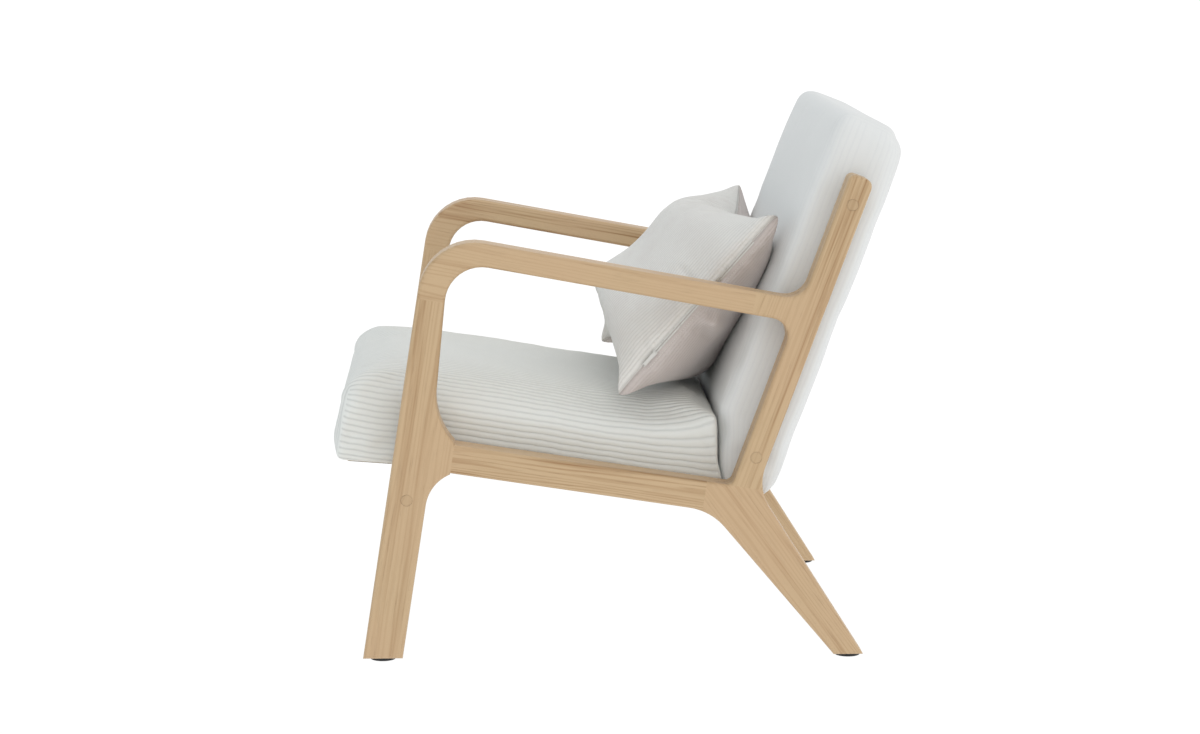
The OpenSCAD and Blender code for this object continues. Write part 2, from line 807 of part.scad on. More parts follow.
module bolt_passages() {
    for (s = [-1, 1]) on_side(s)
        across(back_bolts, stile_x + stile_t - cut, stile_pad + side_gap + 2 * cut, bolt_d + 2 * bolt_clear);
}

module back_foam() {
    color("lightyellow") difference() {
        back_body(cover_t);
        back_cavity();
        bolt_passages();
    }
}

module back_cover() {
    color(cloth) difference() {
        back_body(0);
        back_body(cover_t);
        bolt_passages();
    }
}

// ---- pillow ----

// Middle of the pillow in the side view: it stands on the seat and leans towards the back
pillow_mid = meet(seat_top_p, -rail_slope, [post_y - 43, 0], 90) + [0, pillow_h * 0.5 + 13];
rim_t = 5;
zip_x = pillow_w / 2 - 10;
zip_wall = 1.2;
tape_t = 1;
tape_w = 12;
teeth_w = 5;
teeth_t = 2;
slot_w = 1.6;
slider_l = 10;
slider_w = 7;
slider_gap = 0.3;

// Pillow space: X across the chair, Y up along the pillow, Z out of its front face
module on_pillow() {
    translate([0, pillow_mid.x, pillow_mid.y]) rotate([90 - pillow_lean, 0, 0]) children();
}

module pillow_body(d) {
    hull() {
        for (sx = [-1, 1], sy = [-1, 1])
            translate([sx * (pillow_w / 2 - 12), sy * (pillow_h / 2 - 12), 0])
                cylinder(r = 12 - d, h = rim_t - 2 * d, center = true, $fn = 32);
        scale([pillow_w * 0.34 - d, pillow_h * 0.33 - d, pillow_t / 2 - d]) sphere(r = 1, $fn = 32);
        for (sx = [-1, 1]) translate([sx * pillow_w * 0.2, 0, 0])
            scale([pillow_w * 0.2 - d, pillow_h * 0.34 - d, pillow_t * 0.42 - d]) sphere(r = 1, $fn = 32);
    }
}

module zip_recess(depth) {
    translate([zip_x - depth, -zip_len / 2 - 1, -tape_w])
        cube([pillow_w, zip_len + 2, 2 * tape_w]);
}

module pillow_cover() {
    color(cloth) on_pillow() difference() {
        pillow_body(0);
        pillow_body(zip_wall);
        zip_recess(tape_t + fit);
    }
}

module pillow_filling() {
    color("white") on_pillow() difference() {
        pillow_body(zip_wall);
        zip_recess(8);
    }
}

module zip_slot(x) {
    translate([x, -zip_len / 2 - cut, -slot_w / 2]) cube([20, zip_len + 2 * cut, slot_w]);
}

module pillow_zip_tape() {
    color(cloth) on_pillow() difference() {
        translate([zip_x - tape_t, -zip_len / 2, -tape_w / 2]) cube([tape_t, zip_len, tape_w]);
        zip_slot(zip_x - 10);
    }
}

tooth_pitch = 5;

module pillow_zip_teeth() {
    color("silver") on_pillow() for (s = [0, 1]) mirror([0, 0, s]) {
        for (y = [-zip_len / 2 + 1:tooth_pitch:zip_len / 2 - 4])
            translate([zip_x, y, slot_w / 2]) cube([teeth_t, tooth_pitch * 0.6, (teeth_w - slot_w) / 2]);
        translate([zip_x, -zip_len / 2, slot_w / 2])
            cube([teeth_t / 2, zip_len, (teeth_w - slot_w) / 2 + 0.4]);
    }
}

module pillow_zip_slider() {
    rest_y = -zip_len / 2 + 17;
    color("silver") on_pillow() translate([0, rest_y, 0]) {
        translate([zip_x + teeth_t + slider_gap, 0, -slider_w / 2]) cube([1.2, slider_l, slider_w]);
        translate([zip_x - tape_t - slider_gap - 1.2, 0, -slider_w / 2]) cube([1.2, slider_l, slider_w]);
        translate([zip_x - tape_t - slider_gap - 1, 2, -slot_w / 2 + slider_gap])
            cube([teeth_t + tape_t + 2 * slider_gap + 2, slider_l - 4, slot_w - 2 * slider_gap]);
        translate([zip_x + teeth_t + slider_gap + 1.2, 2, -1]) cube([1.5, 6, 2]);
        translate([zip_x + teeth_t + slider_gap + 2.7, -14, -2.5]) cube([1, 22, 5]);
    }
}

front_leg(1);  // front_leg_left
front_leg(-1);  // front_leg_right
armrest(1);  // armrest_left
armrest(-1);  // armrest_right
back_post(1);  // back_post_left
back_post(-1);  // back_post_right
seat_rail(1);  // seat_rail_left
seat_rail(-1);  // seat_rail_right
rear_leg(1);  // rear_leg_left
rear_leg(-1);  // rear_leg_right
frame_dowels(1);  // frame_dowels_left
frame_dowels(-1);  // frame_dowels_right
front_cross_rail();
rear_cross_rail();
cross_rail_dowels();
side_bolts();
bolt_washers();
threaded_inserts();
wood_plugs();
foot_glide(1, front_glide_y);  // foot_glide_front_left
foot_glide(-1, front_glide_y);  // foot_glide_front_right
foot_glide(1, rear_glide_y);  // foot_glide_rear_left
foot_glide(-1, rear_glide_y);  // foot_glide_rear_right
glide_nails();
seat_frame_front();
seat_frame_rear();
seat_frame_side(1);  // seat_frame_left
seat_frame_side(-1);  // seat_frame_right
seat_springs();
spring_clips();
seat_foam();
seat_cover();
seat_dust_cover();
seat_brackets();
seat_screws();
back_stile(1);  // back_stile_left
back_stile(-1);  // back_stile_right
back_frame_rail(back_z1 - back_rail_h);  // back_frame_top
back_frame_rail(back_z0);  // back_frame_bottom
back_webbing();
back_foam();
back_cover();
pillow_cover();
pillow_filling();
pillow_zip_tape();
pillow_zip_teeth();
pillow_zip_slider();
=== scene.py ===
import bpy, bmesh, math
from mathutils import Matrix, Vector, noise
from mathutils.bvhtree import BVHTree
from mathutils.geometry import tessellate_polygon


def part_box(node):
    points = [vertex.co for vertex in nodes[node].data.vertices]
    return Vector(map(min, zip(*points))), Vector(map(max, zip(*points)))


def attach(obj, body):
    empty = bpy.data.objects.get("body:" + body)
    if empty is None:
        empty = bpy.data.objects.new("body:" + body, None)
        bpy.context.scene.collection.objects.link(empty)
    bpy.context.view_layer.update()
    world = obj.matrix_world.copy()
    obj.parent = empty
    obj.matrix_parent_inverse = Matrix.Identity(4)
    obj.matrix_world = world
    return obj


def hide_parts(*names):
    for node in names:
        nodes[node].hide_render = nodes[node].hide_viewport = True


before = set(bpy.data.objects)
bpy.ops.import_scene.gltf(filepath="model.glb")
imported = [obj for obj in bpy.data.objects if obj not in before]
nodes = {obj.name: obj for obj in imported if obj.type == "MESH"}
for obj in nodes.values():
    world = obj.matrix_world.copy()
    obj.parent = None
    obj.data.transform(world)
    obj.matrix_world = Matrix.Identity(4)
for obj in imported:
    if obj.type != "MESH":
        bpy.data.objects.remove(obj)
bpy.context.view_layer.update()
scene = bpy.context.scene

# ---- side frames ----
# Each side frame is glued up from five planks of pale ash. The outline is cut with a router, and
# every long edge is rounded over by hand before the satin lacquer goes on. Dowels hold the joints.

MM = 0.001
OUTER_X = 325 * MM
INNER_X = 279 * MM
ROUND_OVER = 5.5 * MM
ROUND_STEPS = 5
PLUG_DEPTH = 6 * MM
CLEARANCE = 9 * MM
SHARP = math.radians(38)
SAME = 0.1 * MM
GLUE_GAP = 0.3 * MM
PLANKS = {"front_leg": 8.9, "armrest": 100.4, "back_post": 20.3, "seat_rail": 98.8, "rear_leg": -36.0}


def linear(red, green, blue):
    """A colour given in screen values of 0 to 255, as the shader wants it."""
    parts = [c / 255 for c in (red, green, blue)]
    return [c / 12.92 if c < 0.04045 else ((c + 0.055) / 1.055) ** 2.4 for c in parts] + [1.0]


class Value:
    """A node's output that takes part in Python arithmetic."""

    def __init__(self, maker, socket):
        self.maker, self.socket = maker, socket

    def maths(self, operation, *others):
        return self.maker.node("ShaderNodeMath", {"operation": operation}, [self, *others])

    def __add__(self, other):
        return self.maths("ADD", other)

    def __sub__(self, other):
        return self.maths("SUBTRACT", other)

    def __mul__(self, other):
        return self.maths("MULTIPLY", other)

    def __truediv__(self, other):
        return self.maths("DIVIDE", other)

    def __pow__(self, other):
        return self.maths("POWER", other)

    def __rsub__(self, other):
        return self.maker.node("ShaderNodeMath", {"operation": "SUBTRACT"}, [other, self])

    __radd__ = __add__
    __rmul__ = __mul__


class Maker:
    """Adds nodes to one tree."""

    def __init__(self, tree):
        self.tree = tree

    def node(self, kind, settings=None, inputs=(), output=0):
        made = self.tree.nodes.new(kind)
        for key, value in (settings or {}).items():
            if key == "stops":
                ramp = made.color_ramp
                while len(ramp.elements) < len(value):
                    ramp.elements.new(0.5)
                for stop, (place, colour) in zip(ramp.elements, value):
                    stop.position, stop.color = place, colour
            else:
                setattr(made, key, value)
        for key, value in inputs.items() if isinstance(inputs, dict) else enumerate(inputs):
            if isinstance(value, Value):
                self.tree.links.new(value.socket, made.inputs[key])
            else:
                made.inputs[key].default_value = value
        return Value(self, made.outputs[output])

    def place(self, location=(0, 0, 0), rotation=(0, 0, 0)):
        here = self.node("ShaderNodeTexCoord", output="Object")
        return self.node("ShaderNodeMapping",
                         inputs={"Vector": here, "Location": location, "Rotation": rotation})

    def part(self, vector, axis):
        return self.node("ShaderNodeSeparateXYZ", inputs=[vector], output=axis)

    def cloud(self, vector, scale, detail=2.0, roughness=0.5):
        return self.node("ShaderNodeTexNoise", inputs={
            "Vector": vector, "Scale": scale, "Detail": detail, "Roughness": roughness})

    def stretch(self, vector, scale):
        return self.node("ShaderNodeVectorMath", {"operation": "MULTIPLY"}, [vector, scale])

    def step(self, value, low, high):
        return self.node("ShaderNodeMapRange", {"interpolation_type": "SMOOTHSTEP"},
                         {"Value": value, "From Min": low, "From Max": high})

    def mix(self, factor, first, second, blend="MIX"):
        return self.node("ShaderNodeMix", {"data_type": "RGBA", "blend_type": blend},
                         {0: factor, 6: first, 7: second}, output=2)


def finish(name, build, **constants):
    """A material whose build(maker) gives its colour, roughness, and height with the height's size."""
    made = bpy.data.materials.new(name)
    made.use_nodes = True
    maker = Maker(made.node_tree)
    shader = made.node_tree.nodes["Principled BSDF"]
    colour, roughness, height, size = build(maker)
    for socket, value in (("Base Color", colour), ("Roughness", roughness)):
        if isinstance(value, Value):
            made.node_tree.links.new(value.socket, shader.inputs[socket])
        else:
            shader.inputs[socket].default_value = value
    if height is not None:
        bump = maker.node("ShaderNodeBump", inputs={"Height": height, "Strength": 1.0, "Distance": size})
        made.node_tree.links.new(bump.socket, shader.inputs["Normal"])
    for key, value in constants.items():
        shader.inputs[key.replace("_", " ")].default_value = value
    return made


def ash(name, lean, offset, light=(198, 170, 132), dark=(154, 116, 73)):
    """Lacquered ash whose grain leans by so many degrees from upright in the side view."""

    def build(m):
        here = m.place(offset, (math.radians(lean), 0, 0))
        slow = m.stretch(here, (1.0, 1.0, 0.05))
        drift = m.cloud(slow, 22, 3, 0.55)
        across = m.part(slow, "Y")
        rings = (((across * 150) + (drift * 9)) * (2 * math.pi)).maths("SINE") * 0.5 + 0.5
        late = m.step(rings, 0.45, 0.98)
        patch = m.step(m.cloud(slow, 9, 2), 0.42, 0.66)
        fibre = m.cloud(m.stretch(here, (1.0, 1.0, 0.018)), 900, 3, 0.6)
        pores = m.step(m.cloud(m.stretch(here, (1.0, 1.0, 0.03)), 620, 2, 0.7), 0.6, 0.72)
        streak = m.step(m.cloud(m.stretch(here, (1.0, 1.0, 0.035)), 75, 3, 0.6), 0.5, 0.72)
        grain = (late * 0.3 + streak * 0.62 + (fibre - 0.5) * 0.5) * (0.5 + patch * 0.75)
        base = m.mix(grain, linear(*light), linear(*dark))
        base = m.mix(pores * 0.3 * (0.35 + late * 0.65), base, linear(122, 86, 50))
        warm = m.mix(m.step(m.cloud(here, 5, 1), 0.35, 0.7) * 0.22, base, linear(200, 163, 128))
        return warm, 0.4 + fibre * 0.16, fibre * 0.5 - pores * 0.7 - late * 0.15, 0.00022

    return finish(name, build, Coat_Weight=0.12, Coat_Roughness=0.35)


def merged(node):
    """The node's mesh with its loose triangles joined."""
    mesh = bmesh.new()
    mesh.from_mesh(nodes[node].data)
    bmesh.ops.remove_doubles(mesh, verts=mesh.verts, dist=1e-5)
    mesh.verts.index_update()
    mesh.verts.ensure_lookup_table()
    return mesh


def face_loops(node, x):
    """Closed outlines of the node's flat face at x, the longest first, as points of the side view."""
    mesh = merged(node)
    flat = {f for f in mesh.faces if all(abs(v.co.x - x) < 1e-5 for v in f.verts)}
    after = {loop.vert.index: loop.link_loop_next.vert.index
             for f in flat for loop in f.loops if sum(g in flat for g in loop.edge.link_faces) == 1}
    loops = []
    while after:
        start, following = after.popitem()
        loop = [start]
        while following != start:
            loop.append(following)
            following = after.pop(following)
        loops.append([mesh.verts[i].co.yz for i in loop])
    mesh.free()
    return sorted(loops, key=lambda l: -sum((a - b).length for a, b in zip(l, l[1:] + l[:1])))


def crossing(p, a, q, b):
    """Where the line through p along a meets the line through q along b."""
    return p + a * ((q - p).cross(b) / a.cross(b))


def sharpened(loop, shortest=0.0012):
    """The outline with its tiny roundings at the feet turned into plain corners."""
    count = len(loop)
    long_edge = [(loop[(i + 1) % count] - loop[i]).length > shortest for i in range(count)]
    corners, i = [], next(k for k in range(count) if long_edge[k] and long_edge[k - 1])
    for k in range(i, i + count):
        k %= count
        if long_edge[k] and long_edge[k - 1]:
            corners.append(loop[k])
        elif not long_edge[k] and long_edge[k - 1]:
            end = k
            while not long_edge[end % count]:
                end += 1
            a = loop[k] - loop[k - 1]
            b = loop[(end + 1) % count] - loop[end % count]
            if abs(a.normalized().cross(b.normalized())) > 0.2 and end - k > 4:
                corners.append(crossing(loop[k], a, loop[end % count], b))
            else:
                corners += [loop[j % count] for j in range(k, end + 1)]
    return corners


def split(loop, others):
    """The outline with a point wherever a corner of another plank lies on one of its edges."""
    found = []
    for a, b in zip(loop, loop[1:] + loop[:1]):
        way, length = (b - a).normalized(), (b - a).length
        reaches = sorted((p - a).dot(way) for other in others for p in other
                         if abs(way.cross(p - a)) < 2 * SAME and SAME < (p - a).dot(way) < length - SAME)
        found.append(a)
        for reach in reaches:
            if (a + way * reach - found[-1]).length > SAME:
                found.append(a + way * reach)
    return found


def glued(loop, others):
    """For each edge of the outline, whether it lies in a glued joint with another plank."""
    found = []
    for a, b in zip(loop, loop[1:] + loop[:1]):
        middle, way = (a + b) / 2, (b - a).normalized()
        near = False
        for other in others:
            for c, d in zip(other, other[1:] + other[:1]):
                along = (d - c).normalized()
                reach = (middle - c).dot(along)
                if abs(way.cross(along)) < 0.03 and abs((middle - c).cross(along)) < GLUE_GAP:
                    near = near or -2 * SAME < reach < (d - c).length + 2 * SAME
        found.append(near)
    return found


def chained(loops, joints):
    """The free edges of all planks joined into closed outlines of the whole side frame."""
    free = [(loop[i], loop[(i + 1) % len(loop)]) for kind, loop in loops.items()
            for i in range(len(loop)) if not joints[kind][i]]
    chains = []
    while free:
        chain = [free.pop()]
        while free:
            end = chain[-1][1]
            following = min(free, key=lambda edge: (edge[0] - end).length)
            if (chain[0][0] - end).length <= (following[0] - end).length:
                break
            free.remove(following)
            chain.append(following)
        points = []
        for edge in chain:
            for p in edge:
                if not points or (points[-1] - p).length > 4 * SAME:
                    points.append(p)
        if (points[0] - points[-1]).length < 4 * SAME:
            points.pop()
        chains.append(points)
    return chains


def drawn_in(loop, depth):
    """The outline moved inwards by depth."""
    moved = []
    for i, p in enumerate(loop):
        a, b = (p - loop[i - 1]).normalized(), (loop[(i + 1) % len(loop)] - p).normalized()
        m, n = Vector((-a.y, a.x)), Vector((-b.y, b.x))
        moved.append(p + (m + n) * (depth / (1 + m.dot(n))))
    return moved


def widened(loop, joints, reach=0.4 * MM):
    """The outline pushed out along its free edges only."""
    moved = []
    for i, p in enumerate(loop):
        a, b = (p - loop[i - 1]).normalized(), (loop[(i + 1) % len(loop)] - p).normalized()
        m, n = Vector((a.y, -a.x)), Vector((b.y, -b.x))
        if joints[i - 1] and joints[i]:
            moved.append(p)
        elif joints[i - 1]:
            moved += [p, p + n * reach]
        elif joints[i]:
            moved += [p + m * reach, p]
        else:
            moved.append(p + (m + n) * (reach / (1 + m.dot(n))))
    return moved


def piece_from(name, mesh, material, smooth=True):
    """A finished object from a bmesh, with its faces pointing outwards."""
    bmesh.ops.recalc_face_normals(mesh, faces=mesh.faces)
    data = bpy.data.meshes.new(name)
    mesh.to_mesh(data)
    mesh.free()
    if smooth:
        data.shade_smooth()
    made = bpy.data.objects.new(name, data)
    scene.collection.objects.link(made)
    if material:
        data.materials.append(material)
    return made


def settled(obj):
    """Turns the object's modifiers into its own plain mesh."""
    graph = bpy.context.evaluated_depsgraph_get()
    data = bpy.data.meshes.new_from_object(obj.evaluated_get(graph), depsgraph=graph)
    obj.modifiers.clear()
    obj.data = data
    return obj


def walls(mesh, rings):
    """Quads between neighbouring rings of points."""
    for a, b in zip(rings, rings[1:]):
        for i in range(len(a)):
            mesh.faces.new((a[i - 1], a[i], b[i], b[i - 1]))


def whole_frame(chains, holes):
    """A side frame in one piece, rounded over along every edge and drilled for its plugs."""
    mesh = bmesh.new()
    turns = [math.pi / 2 * k / ROUND_STEPS for k in range(ROUND_STEPS + 1)]
    steps = [(ROUND_OVER * (1 - math.sin(t)), ROUND_OVER * (1 - math.cos(t))) for t in turns]
    profile = [(depth, OUTER_X - sink) for depth, sink in steps]
    profile += [(depth, INNER_X + sink) for depth, sink in steps[::-1]]
    shells = [[[mesh.verts.new((x, p.x, p.y)) for p in drawn_in(chain, depth)] for depth, x in profile]
              for chain in chains]
    drilled = [[[mesh.verts.new((x, p.x, p.y)) for p in hole] for x in (OUTER_X, OUTER_X - PLUG_DEPTH)]
               for hole in holes]
    for rings in shells + drilled:
        walls(mesh, rings)
    for rings in drilled:
        mesh.faces.new(rings[1])
    for rims in ([rings[0] for rings in shells + drilled], [rings[-1] for rings in shells]):
        corners = [v for rim in rims for v in rim]
        for triangle in tessellate_polygon([[v.co for v in rim] for rim in rims]):
            mesh.faces.new([corners[i] for i in triangle])
    return mesh


def plank(name, uncut, outline, side, material):
    """The plank inside the given outline, sawn out of the whole frame along its joints."""
    mesh = bmesh.new()
    ends = [[mesh.verts.new((x, p.x, p.y)) for p in outline]
            for x in (INNER_X - CLEARANCE, OUTER_X + CLEARANCE)]
    walls(mesh, ends)
    for end in ends:
        mesh.faces.new(end)
    cutter = piece_from("saw cuts", mesh, None)
    made = bpy.data.objects.new(name, uncut.data.copy())
    scene.collection.objects.link(made)
    sawing = made.modifiers.new("sawing", "BOOLEAN")
    sawing.operation, sawing.solver, sawing.object = "INTERSECT", "EXACT", cutter
    settled(made)
    bpy.data.objects.remove(cutter)
    made.data.materials.clear()
    made.data.materials.append(material)
    if side < 0:
        made.data.transform(Matrix.Diagonal((-1, 1, 1, 1)))
        made.data.flip_normals()
    made.data.shade_smooth()
    made.data.set_sharp_from_angle(angle=SHARP)
    weighted = made.modifiers.new("flat faces", "WEIGHTED_NORMAL")
    weighted.keep_sharp = True
    return settled(made)


outlines = {kind: face_loops(kind + "_left", OUTER_X) for kind in PLANKS}
corners = {kind: sharpened(loops[0]) for kind, loops in outlines.items()}
edges = {kind: split(loop, [other for name, other in corners.items() if name != kind])
         for kind, loop in corners.items()}
joints = {kind: glued(loop, [other for name, other in edges.items() if name != kind])
          for kind, loop in edges.items()}
holes = [hole for loops in outlines.values() for hole in loops[1:]]
chains = chained(edges, joints)
blank = piece_from("side frame blank", whole_frame(chains, holes), None)
for number, (kind, lean) in enumerate(PLANKS.items()):
    sawn = widened(edges[kind], joints[kind])
    for side, hand in ((1, "left"), (-1, "right")):
        cut_from = (0.37 * number + 0.11 * side, 0.53 * number, 0.71 * side)
        wood = ash(f"{kind}_{hand}_ash", lean, cut_from)
        made = plank(f"{kind}_{hand}_timber", blank, sawn, side, wood)
        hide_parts(f"{kind}_{hand}")
        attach(made, "chair")
bpy.data.objects.remove(blank)

# ---- bolts, plugs and dowels ----
# Zinc-plated furniture bolts tie the side frames to the front rail and the back. Turned wooden
# plugs are tapped in over the bolt heads and sanded flush. The dowels are fluted beech.


def beech(name, lean):
    def build(m):
        here = m.place((0.2, 0.1, 0.4), (math.radians(lean), 0, 0))
        fibre = m.cloud(m.stretch(here, (1.0, 1.0, 0.05)), 500, 3, 0.6)
        fleck = m.step(m.cloud(m.stretch(here, (1.0, 0.3, 0.2)), 800, 1), 0.62, 0.7)
        base = m.mix(fibre, linear(194, 163, 122), linear(162, 126, 84))
        return m.mix(fleck * 0.4, base, linear(150, 105, 66)), 0.5 + fibre * 0.2, fibre, 0.0002

    return finish(name, build)


def paint(material, *names):
    """Gives CAD nodes that stay their finish."""
    for name in names:
        nodes[name].data.materials.clear()
        nodes[name].data.materials.append(material)


PLUG_PROFILE = ((0.975, PLUG_DEPTH - 0.4 * MM), (0.975, 0.2 * MM), (0.93, -0.1 * MM), (0.5, -0.3 * MM))


def plug_piece():
    """Six plugs with a slightly domed face, one in each bolt hole."""
    mesh = bmesh.new()
    for kind in ("front_leg", "back_post"):
        for hole in outlines[kind][1:]:
            middle = sum(hole, Vector((0, 0))) / len(hole)
            for side in (-1, 1):
                rings = [[mesh.verts.new((side * (OUTER_X - sink), *(middle + (p - middle) * scale)))
                          for p in hole] for scale, sink in PLUG_PROFILE]
                walls(mesh, rings)
                mesh.faces.new(rings[0])
                mesh.faces.new(rings[-1])
    wood = ash("plug_ash", 20, (0.9, 0.3, 0.6), (190, 163, 125), (150, 114, 72))
    made = piece_from("wood_plugs_turned", mesh, wood)
    made.data.set_sharp_from_angle(angle=SHARP)
    return made


plugs = plug_piece()
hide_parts("wood_plugs")
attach(plugs, "chair")
paint(beech("dowel_beech", 90), "frame_dowels_left", "frame_dowels_right", "cross_rail_dowels")


def metal(name, colour, roughness, stain=(120, 118, 112)):
    def build(m):
        here = m.place()
        fine = m.cloud(here, 1400, 2, 0.6)
        spots = m.step(m.cloud(here, 160, 3, 0.6), 0.55, 0.75)
        return (m.mix(spots * 0.35, linear(*colour), linear(*stain)), fine * 0.2 + roughness,
                fine + spots * 0.4, 0.00006)

    return finish(name, build, Metallic=1.0)


paint(metal("zinc_plate", (196, 196, 190), 0.28), "side_bolts", "bolt_washers", "glide_nails",
      "spring_clips", "seat_brackets", "seat_screws")
paint(metal("insert_brass", (206, 170, 104), 0.3, stain=(140, 104, 56)), "threaded_inserts")

# ---- cross rails ----
# Two straight boards tie the side frames together below the seat. They are planed from the same
# ash as the frames and are bolted and dowelled between them.

for rail, turn in (("front_cross_rail", 0.31), ("rear_cross_rail", 0.83)):
    def build_board(m, turn=turn):
        here = m.place((turn, 0.2, 0.5), (0, 0, math.radians(90)))
        slow = m.stretch(here, (1.0, 0.05, 1.0))
        streak = m.step(m.cloud(slow, 70, 3, 0.6), 0.45, 0.7)
        fibre = m.cloud(m.stretch(here, (1.0, 0.02, 1.0)), 800, 3, 0.6)
        base = m.mix(streak * 0.45 + fibre * 0.2, linear(200, 176, 140), linear(160, 124, 80))
        return base, 0.45 + fibre * 0.15, fibre, 0.0002

    paint(finish(rail + "_ash", build_board, Coat_Weight=0.1, Coat_Roughness=0.4), rail)

# ---- feet ----
# Moulded black glides under the four feet, each held by one flat-headed nail. They have a fine
# spark-eroded texture and are scuffed round the rim.


def build_glide(m):
    here = m.place()
    grit = m.cloud(here, 1600, 2, 0.6)
    scuff = m.step(m.cloud(here, 130, 4, 0.7), 0.56, 0.72)
    return m.mix(scuff * 0.3, linear(22, 22, 23), linear(84, 82, 80)), 0.42 + grit * 0.3, grit, 0.00012


paint(finish("glide_plastic_black", build_glide), "foot_glide_front_left", "foot_glide_front_right",
      "foot_glide_rear_left", "foot_glide_rear_right")

# ---- inner frames, springs and webbing ----
# Sawn pine boards inside the seat and the back, with sinuous springs in their clips, elastic
# webbing, and a black dust cloth stapled under the seat.


def build_pine(m):
    here = m.place((0.4, 0.7, 0.1), (0, 0, math.radians(90)))
    saw = m.cloud(m.stretch(here, (1.0, 0.1, 1.0)), 260, 2, 0.7)
    rings = m.node("ShaderNodeTexWave", {"wave_type": "RINGS", "rings_direction": "Y"},
                   {"Vector": m.stretch(here, (1.0, 0.08, 1.0)), "Scale": 45.0, "Distortion": 3.0,
                    "Detail": 2.0}, output="Fac")
    return m.mix(rings * 0.5 + saw * 0.2, linear(232, 206, 158), linear(196, 150, 92)), 0.7, saw, 0.0004


paint(finish("sawn_pine", build_pine), "seat_frame_front", "seat_frame_rear", "seat_frame_left",
      "seat_frame_right", "back_stile_left", "back_stile_right", "back_frame_top", "back_frame_bottom")
paint(metal("spring_wire", (92, 92, 94), 0.35, stain=(60, 52, 46)), "seat_springs")


def weave(name, thread, dark, light, pitch, relief):
    """Plain weave of thread so many metres apart, on Object coordinates."""

    def build(m):
        here = m.place()
        turn = math.pi / pitch
        over = (m.part(here, "X") * turn).maths("SINE") * (m.part(here, thread) * turn).maths("SINE")
        cloth = over * 0.5 + 0.5
        fuzz = m.cloud(here, 900, 2, 0.6)
        return (m.mix(cloth * 0.6 + fuzz * 0.4, linear(*dark), linear(*light)), 0.85,
                cloth * 0.7 + fuzz * 0.3, relief)

    return finish(name, build, Sheen_Weight=0.1)


paint(weave("webbing_rubber", "Z", (24, 24, 26), (66, 64, 62), 0.003, 0.0005), "back_webbing")
paint(weave("dust_cloth_black", "Y", (12, 12, 13), (42, 42, 44), 0.0012, 0.0001), "seat_dust_cover")

# ---- seat ----
# A foam block glued to a sprung timber frame and pulled tight into a wide-wale corduroy cover. One
# panel runs from side to side over the top; the front and rear panels are sewn in.

WALE = 8.6 * MM
PAD_X = 275 * MM
CELL = 9 * MM


def corduroy(name, tops, grooves, relief=0.0011):
    """Cut-pile corduroy with its wales on the first coordinate of the map "wales", in metres."""

    def build(m):
        here = m.place()
        wales = m.node("ShaderNodeUVMap", {"uv_map": "wales"})
        across = m.part(wales, "X")
        wander = (m.cloud(here, 16, 3, 0.55) - 0.5) * 0.42 + (m.cloud(here, 60, 2) - 0.5) * 0.16
        wave = ((across / WALE + wander) * math.pi).maths("SINE").maths("ABSOLUTE")
        wale = wave ** 0.85
        pile = m.cloud(here, 1500, 2, 0.7)
        tufts = m.cloud(here, 420, 3, 0.7)
        brushed = m.cloud(m.stretch(here, (1.0, 1.0, 0.6)), 11, 4, 0.6)
        worn = m.step(brushed, 0.3, 0.7)
        colour = m.mix(m.step(wale, 0.1, 0.8) * 0.75 + pile * 0.25, linear(*grooves), linear(*tops))
        colour = m.mix((1 - worn) * 0.16, colour, linear(*grooves))
        return colour, 0.9, wale + pile * 0.16 + tufts * 0.14, relief

    return finish(name, build, Sheen_Weight=0.12, Sheen_Roughness=0.5)


def block(name, size, radius, place, wales, material):
    """A closed pad of even quads: a block rounded by radius(share) and then put in place."""
    count = [max(4, round(s / CELL)) for s in size]
    mesh = bmesh.new()
    layer = mesh.loops.layers.uv.new("wales")
    made = {}
    half = Vector(size) / 2

    def corner(key):
        if key not in made:
            p = Vector([(k / n - 0.5) * s for k, n, s in zip(key, count, size)])
            share = Vector([k / n for k, n in zip(key, count)])
            r = radius(share)
            core = Vector([max(-h + r, min(h - r, c)) for c, h in zip(p, half)])
            out = p - core
            if out.length > 1e-9:
                p = core + out.normalized() * r
            made[key] = mesh.verts.new(place(p, share))
        return made[key]

    for axis in range(3):
        u, v = (axis + 1) % 3, (axis + 2) % 3
        for end in (0, count[axis]):
            for i in range(count[u]):
                for j in range(count[v]):
                    keys = []
                    for di, dj in ((0, 0), (1, 0), (1, 1), (0, 1)):
                        key = [0, 0, 0]
                        key[axis], key[u], key[v] = end, i + di, j + dj
                        keys.append(tuple(key))
                    face = mesh.faces.new([corner(k) for k in keys])
                    for loop, key in zip(face.loops, keys):
                        share = Vector([k / n for k, n in zip(key, count)])
                        loop[layer].uv = wales(share, axis)
    keys = {vert: key for key, vert in made.items()}
    order = [keys[v] for v in mesh.verts]
    return piece_from(name, mesh, material), order


